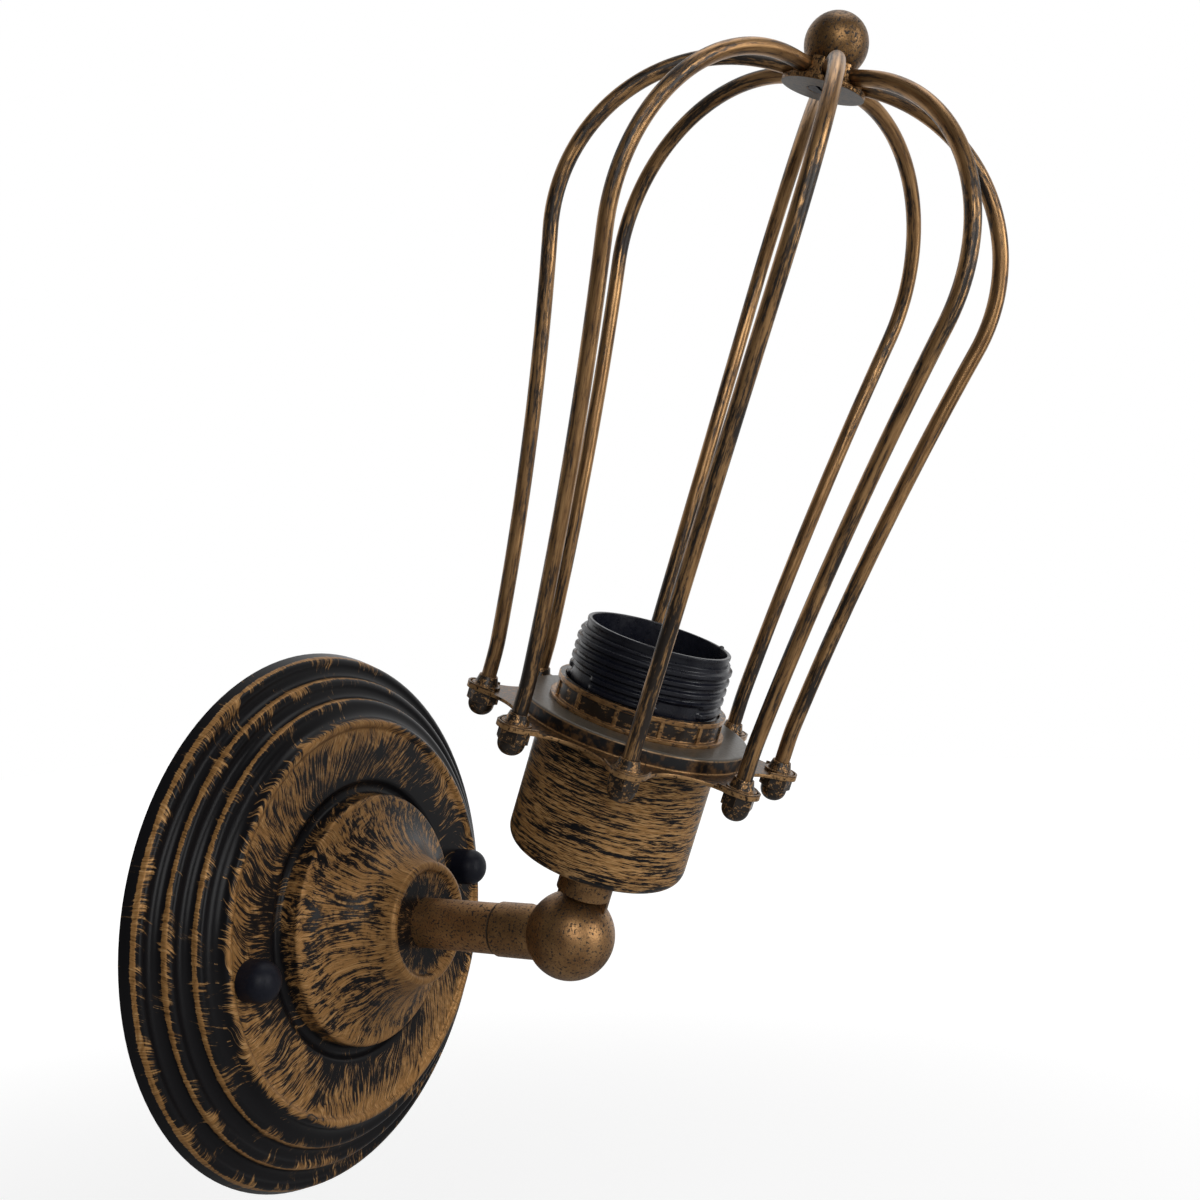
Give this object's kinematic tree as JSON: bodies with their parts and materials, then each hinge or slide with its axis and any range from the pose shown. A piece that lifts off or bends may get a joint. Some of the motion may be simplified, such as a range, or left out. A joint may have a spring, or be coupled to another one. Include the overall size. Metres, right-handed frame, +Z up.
{
  "type": "wall_light",
  "caption": "Cage wall light: stepped round wall plate, short arm, tilting ball knuckle, lamp holder in a cup, and a balloon cage of eight wires with a ball on top, in brushed antique bronze.",
  "frame": {"origin": "centre of the wall strap's back face, in the plane of the wall, on the axis of the wall plate and arm", "axes": "+Z up, +Y into the wall (the light stands out towards -Y), +X to the right as seen from in front of the wall"},
  "size_m": [0.15, 0.1984, 0.2951],
  "materials": {
    "bronze": "blackened and dry-brushed with antique bronze",
    "cast_bronze": "even antique bronze with fine dark pits",
    "zinc_steel": "zinc plated",
    "brass": "plain brass",
    "block_plastic": "natural nylon",
    "porcelain": "glazed porcelain",
    "black_plastic": "satin black",
    "lead_black": "insulated lead",
    "lead_green": "insulated earth lead"
  },
  "bodies": {
    "wall_side": {"wall_plate": "bronze", "wall_strap": "zinc_steel", "strap_studs": "zinc_steel", "stud_nuts": "zinc_steel", "cap_nuts": "black_plastic", "earth_screw": "brass", "earth_washer": "brass", "connector_block": "block_plastic", "connector_screws": "brass", "block_screw": "zinc_steel", "arm_rod": "zinc_steel", "rod_washer": "zinc_steel", "earth_tag": "brass", "rod_nut": "zinc_steel", "arm_tube": "cast_bronze", "knuckle_arm_half": "cast_bronze", "pivot_screw": "zinc_steel", "pivot_washer": "zinc_steel", "supply_leads": "lead_black", "earth_lead": "lead_green"},
    "lamp_head": {"knuckle_lamp_half": "cast_bronze", "cup_nipple": "zinc_steel", "lamp_cup": "bronze", "cup_nut": "zinc_steel", "holder_base_cap": "black_plastic", "holder_core": "porcelain", "screw_shell": "brass", "centre_contact": "brass", "holder_terminals": "brass", "holder_leads": "lead_black", "holder_skirt": "black_plastic", "shade_ring": "bronze", "cage_base": "bronze", "wire_collars": "bronze", "wire_nuts": "bronze", "cage_wire_1": "bronze", "cage_wire_2": "bronze", "cage_wire_3": "bronze", "cage_wire_4": "bronze", "cage_wire_5": "bronze", "cage_wire_6": "bronze", "cage_wire_7": "bronze", "cage_wire_8": "bronze", "cage_hub": "bronze", "hub_screw": "zinc_steel", "finial_ball": "cast_bronze"}
  },
  "joints": [
    {"name": "knuckle_tilt", "type": "hinge", "parent": "wall_side", "child": "lamp_head", "pos_m": [0, -0.082, 0], "axis": [1, 0, 0], "range_deg": [-25, 163]}
  ]
}
